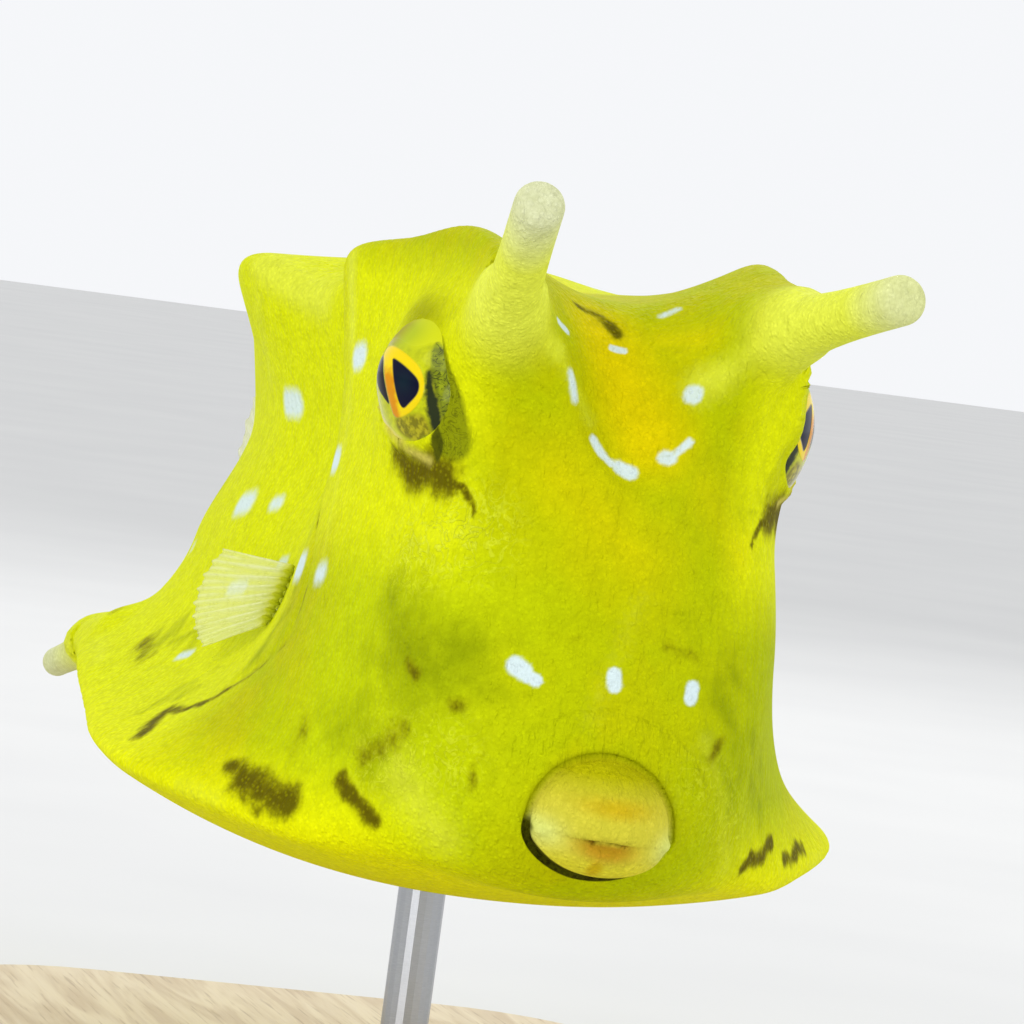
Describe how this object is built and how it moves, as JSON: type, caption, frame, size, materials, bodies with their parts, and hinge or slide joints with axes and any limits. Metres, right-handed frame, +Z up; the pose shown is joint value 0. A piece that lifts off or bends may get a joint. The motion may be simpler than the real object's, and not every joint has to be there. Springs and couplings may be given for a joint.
{
  "type": "longhorn cowfish model",
  "caption": "Life-size yellow longhorn cowfish: boxy ridged body, blunt horns, small mouth, fins and tail, held level on a plain display stand.",
  "frame": {"origin": "middle of the underside of the stand's base", "axes": "+Z up; the fish faces -Y, with its left side to +X"},
  "size_m": [0.056, 0.1455, 0.0688],
  "materials": {
    "skin": "bright yellow granular skin over a rigid shell, with olive patches and pale blue spots",
    "horn": "pale yellow horn, whiter at the blunt ends",
    "eye": "wet glossy eye, dark pupil in a gold ring, olive iris",
    "lip": "soft ochre lips with a pink line",
    "fin": "thin pale yellow translucent membrane with raised rays",
    "stand_wood": "pale satin wood",
    "stand_steel": "fine brushed steel"
  },
  "bodies": {
    "root": {"head": "skin", "trunk": "skin", "tail_stalk": "skin", "horn_left": "horn", "horn_right": "horn", "rear_spine_left": "horn", "rear_spine_right": "horn", "eye_left": "eye", "eye_right": "eye", "lip_upper": "lip", "lip_lower": "lip", "dorsal_fin": "fin", "anal_fin": "fin", "pectoral_fin_left": "fin", "pectoral_fin_right": "fin", "tail_fin": "fin", "stand_base": "stand_wood", "stand_rod": "stand_steel"}
  },
  "joints": []
}
